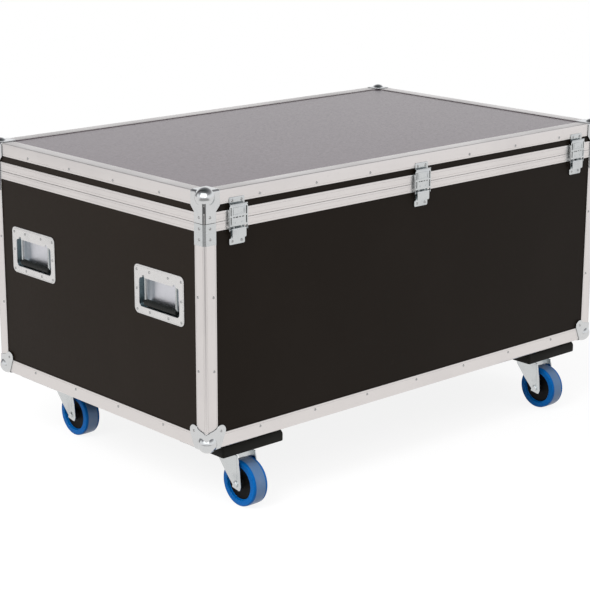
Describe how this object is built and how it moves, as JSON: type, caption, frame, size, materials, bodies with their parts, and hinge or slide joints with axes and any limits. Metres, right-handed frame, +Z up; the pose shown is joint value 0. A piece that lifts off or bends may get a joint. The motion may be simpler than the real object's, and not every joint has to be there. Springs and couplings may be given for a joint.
{
  "type": "flight case",
  "caption": "Wheeled road case: plywood panels in aluminium edging, hinged lid with draw latches, recessed bail handles and swivel castors.",
  "frame": {"origin": "on the floor under the middle of the case's bounding box, between the castors", "axes": "+X along the front to the right, +Y from the latches to the hinges, +Z up"},
  "size_m": [1.215, 0.763, 0.6891],
  "materials": {
    "laminate": "satin dark brown phenolic film on plywood",
    "board": "black painted plywood",
    "aluminium": "satin anodised extrusion",
    "zinc": "bright zinc plate",
    "grip": "matt black rubber",
    "wheel": "blue elastic rubber tyre on a black nylon hub"
  },
  "bodies": {
    "case": {"bottom_panel": "laminate", "front_panel": "laminate", "back_panel": "laminate", "left_end_panel": "laminate", "right_end_panel": "laminate", "base_edging_frame": "aluminium", "lower_closure_frame": "aluminium", "base_corner_front_left": "zinc", "base_corner_front_right": "zinc", "base_corner_back_left": "zinc", "base_corner_back_right": "zinc", "castor_board_front_left": "board", "castor_board_front_right": "board", "castor_board_back_left": "board", "castor_board_back_right": "board", "castor_plate_front_left": "zinc", "castor_plate_front_right": "zinc", "castor_plate_back_left": "zinc", "castor_plate_back_right": "zinc", "latch_base_left": "zinc", "latch_base_middle": "zinc", "latch_base_right": "zinc", "handle_dish_left_front": "zinc", "handle_dish_left_back": "zinc", "handle_dish_right_front": "zinc", "handle_dish_right_back": "zinc", "hinge_lower_leaf_left": "zinc", "hinge_lower_leaf_right": "zinc"},
    "lid": {"lid_top_panel": "laminate", "lid_walls": "laminate", "upper_closure_frame": "aluminium", "lid_edging": "aluminium", "lid_corner_front_left": "zinc", "lid_corner_front_right": "zinc", "lid_corner_back_left": "zinc", "lid_corner_back_right": "zinc", "latch_keeper_left": "zinc", "latch_keeper_middle": "zinc", "latch_keeper_right": "zinc", "hinge_upper_leaf_left": "zinc", "hinge_upper_leaf_right": "zinc"},
    "left_latch_lever": {"latch_lever_left": "zinc"},
    "middle_latch_lever": {"latch_lever_middle": "zinc"},
    "right_latch_lever": {"latch_lever_right": "zinc"},
    "left_latch_loop": {"latch_loop_left": "zinc"},
    "middle_latch_loop": {"latch_loop_middle": "zinc"},
    "right_latch_loop": {"latch_loop_right": "zinc"},
    "left_front_bail": {"handle_bail_left_front": "grip"},
    "left_back_bail": {"handle_bail_left_back": "grip"},
    "right_front_bail": {"handle_bail_right_front": "grip"},
    "right_back_bail": {"handle_bail_right_back": "grip"},
    "front_left_fork": {"castor_fork_front_left": "zinc"},
    "front_right_fork": {"castor_fork_front_right": "zinc"},
    "back_left_fork": {"castor_fork_back_left": "zinc"},
    "back_right_fork": {"castor_fork_back_right": "zinc"},
    "front_left_wheel": {"castor_wheel_front_left": "wheel"},
    "front_right_wheel": {"castor_wheel_front_right": "wheel"},
    "back_left_wheel": {"castor_wheel_back_left": "wheel"},
    "back_right_wheel": {"castor_wheel_back_right": "wheel"}
  },
  "joints": [
    {"name": "lid_hinge", "type": "hinge", "parent": "case", "child": "lid", "pos_m": [0, 0.3773, 0.6186], "axis": [-1, 0, 0], "range_deg": [0, 105]},
    {"name": "left_latch_throw", "type": "hinge", "parent": "case", "child": "left_latch_lever", "pos_m": [-0.518, -0.3672, 0.6066], "axis": [-1, 0, 0], "range_deg": [0, 90]},
    {"name": "middle_latch_throw", "type": "hinge", "parent": "case", "child": "middle_latch_lever", "pos_m": [0, -0.3672, 0.6066], "axis": [-1, 0, 0], "range_deg": [0, 90]},
    {"name": "right_latch_throw", "type": "hinge", "parent": "case", "child": "right_latch_lever", "pos_m": [0.518, -0.3672, 0.6066], "axis": [-1, 0, 0], "range_deg": [0, 90]},
    {"name": "left_latch_draw", "type": "hinge", "parent": "left_latch_lever", "child": "left_latch_loop", "pos_m": [-0.518, -0.3683, 0.5986], "axis": [-1, 0, 0], "range_deg": [-110, 0]},
    {"name": "middle_latch_draw", "type": "hinge", "parent": "middle_latch_lever", "child": "middle_latch_loop", "pos_m": [0, -0.3683, 0.5986], "axis": [-1, 0, 0], "range_deg": [-110, 0]},
    {"name": "right_latch_draw", "type": "hinge", "parent": "right_latch_lever", "child": "right_latch_loop", "pos_m": [0.518, -0.3683, 0.5986], "axis": [-1, 0, 0], "range_deg": [-110, 0]},
    {"name": "left_front_bail_lift", "type": "hinge", "parent": "case", "child": "left_front_bail", "pos_m": [-0.593, -0.2175, 0.4771], "axis": [0, 1, 0], "range_deg": [0, 90], "stiffness_Nm_per_rad": 0.15, "springref_deg": -20.05},
    {"name": "left_back_bail_lift", "type": "hinge", "parent": "case", "child": "left_back_bail", "pos_m": [-0.593, 0.2245, 0.4771], "axis": [0, 1, 0], "range_deg": [0, 90], "stiffness_Nm_per_rad": 0.15, "springref_deg": -20.05},
    {"name": "right_front_bail_lift", "type": "hinge", "parent": "case", "child": "right_front_bail", "pos_m": [0.593, -0.2175, 0.4771], "axis": [0, -1, 0], "range_deg": [0, 90], "stiffness_Nm_per_rad": 0.15, "springref_deg": -20.05},
    {"name": "right_back_bail_lift", "type": "hinge", "parent": "case", "child": "right_back_bail", "pos_m": [0.593, 0.2245, 0.4771], "axis": [0, -1, 0], "range_deg": [0, 90], "stiffness_Nm_per_rad": 0.15, "springref_deg": -20.05},
    {"name": "front_left_swivel", "type": "hinge", "parent": "case", "child": "front_left_fork", "pos_m": [-0.471, -0.2865, 0.1127], "axis": [0, 0, 1], "continuous": true},
    {"name": "front_right_swivel", "type": "hinge", "parent": "case", "child": "front_right_fork", "pos_m": [0.471, -0.2865, 0.1127], "axis": [0, 0, 1], "continuous": true},
    {"name": "back_left_swivel", "type": "hinge", "parent": "case", "child": "back_left_fork", "pos_m": [-0.471, 0.2935, 0.1127], "axis": [0, 0, 1], "continuous": true},
    {"name": "back_right_swivel", "type": "hinge", "parent": "case", "child": "back_right_fork", "pos_m": [0.471, 0.2935, 0.1127], "axis": [0, 0, 1], "continuous": true},
    {"name": "front_left_spin", "type": "hinge", "parent": "front_left_fork", "child": "front_left_wheel", "pos_m": [-0.471, -0.3315, 0.05], "axis": [1, 0, 0], "continuous": true},
    {"name": "front_right_spin", "type": "hinge", "parent": "front_right_fork", "child": "front_right_wheel", "pos_m": [0.471, -0.3315, 0.05], "axis": [1, 0, 0], "continuous": true},
    {"name": "back_left_spin", "type": "hinge", "parent": "back_left_fork", "child": "back_left_wheel", "pos_m": [-0.471, 0.2485, 0.05], "axis": [1, 0, 0], "continuous": true},
    {"name": "back_right_spin", "type": "hinge", "parent": "back_right_fork", "child": "back_right_wheel", "pos_m": [0.471, 0.2485, 0.05], "axis": [1, 0, 0], "continuous": true}
  ],
  "couplings": [
    {"joint": "left_latch_draw", "follows": "left_latch_throw", "ratio": -1.2},
    {"joint": "middle_latch_draw", "follows": "middle_latch_throw", "ratio": -1.2},
    {"joint": "right_latch_draw", "follows": "right_latch_throw", "ratio": -1.2}
  ]
}
